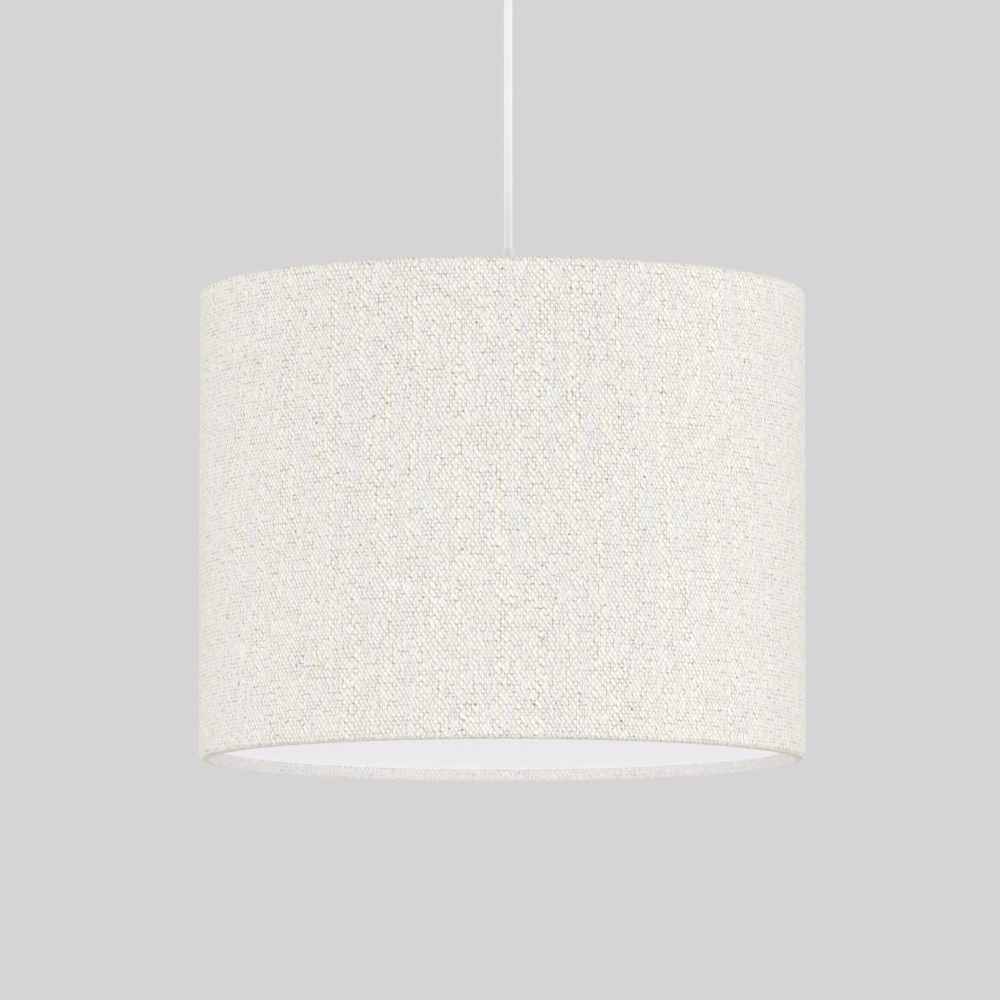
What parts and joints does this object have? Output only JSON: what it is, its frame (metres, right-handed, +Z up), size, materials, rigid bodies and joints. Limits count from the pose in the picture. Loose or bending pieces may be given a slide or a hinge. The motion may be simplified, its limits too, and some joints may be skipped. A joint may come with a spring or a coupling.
{
  "type": "pendant lamp shade",
  "caption": "Linen drum lamp shade with an opal diffuser, hung by a white flex from a ceiling rose, with its wire frame, lampholder and lamp.",
  "frame": {"origin": "centre of the ceiling rose's flat back, on the ceiling plane", "axes": "+Z up into the ceiling, along the flex; the shade hangs below along -Z; the pictured side faces -Y"},
  "size_m": [0.35, 0.35, 0.4879],
  "materials": {
    "linen": "off-white slubbed plain weave",
    "liner": "white PVC backing",
    "frame_steel": "white powder coat",
    "opal": "smooth opal acrylic",
    "white_plastic": "satin white moulding",
    "flex": "smooth white PVC sheath",
    "brass": "plain",
    "nickel": "nickel plate",
    "ceramic": "unglazed steatite",
    "core_brown": "PVC insulation",
    "core_blue": "PVC insulation"
  },
  "bodies": {
    "rose": {"rose_base": "white_plastic", "rose_cover": "white_plastic", "cover_screw_1": "nickel", "cover_screw_2": "nickel", "terminal_block": "white_plastic", "terminal_screw_1": "brass", "terminal_screw_2": "brass", "terminal_screw_3": "brass"},
    "ball": {"swivel_ball": "white_plastic"},
    "pendant": {"cord": "flex", "cord_stop": "white_plastic", "rose_core_brown": "core_brown", "rose_core_blue": "core_blue", "lampholder_body": "white_plastic", "cord_clamp": "white_plastic", "clamp_screw": "brass", "screw_shell": "nickel", "insulator_block": "ceramic", "centre_contact": "brass", "core_brown": "core_brown", "core_blue": "core_blue"},
    "cap": {"lampholder_cap": "white_plastic", "cord_sleeve": "white_plastic"},
    "shade": {"fabric_cover": "linen", "pvc_liner": "liner", "top_ring": "frame_steel", "bottom_ring": "frame_steel", "spider_arm_1": "frame_steel", "spider_arm_2": "frame_steel", "spider_arm_3": "frame_steel", "fitter_ring": "frame_steel"},
    "diffuser": {"diffuser": "opal"},
    "shade_ring": {"shade_ring": "white_plastic"},
    "lamp": {"lamp_contact": "nickel", "lamp_cap": "nickel", "lamp_collar": "white_plastic", "lamp_globe": "opal"}
  },
  "joints": [
    {"name": "swing_x", "type": "hinge", "parent": "rose", "child": "ball", "pos_m": [0, 0, -0.0285], "axis": [1, 0, 0], "range_deg": [-12, 12]},
    {"name": "swing_y", "type": "hinge", "parent": "ball", "child": "pendant", "pos_m": [0, 0, -0.0285], "axis": [0, 1, 0], "range_deg": [-12, 12]},
    {"name": "cap_lift", "type": "slide", "parent": "pendant", "child": "cap", "axis": [0, 0, 1], "range_m": [0, 0.03]},
    {"name": "shade_turn", "type": "hinge", "parent": "pendant", "child": "shade", "pos_m": [0, 0, -0.235], "axis": [0, 0, 1], "continuous": true},
    {"name": "diffuser_lift", "type": "slide", "parent": "shade", "child": "diffuser", "axis": [0, 0, 1], "range_m": [0, 0.04]},
    {"name": "shade_ring_unscrew", "type": "slide", "parent": "pendant", "child": "shade_ring", "axis": [0, 0, -1], "range_m": [0, 0.019]},
    {"name": "lamp_unscrew", "type": "slide", "parent": "pendant", "child": "lamp", "axis": [0, 0, -1], "range_m": [0, 0.026]}
  ]
}
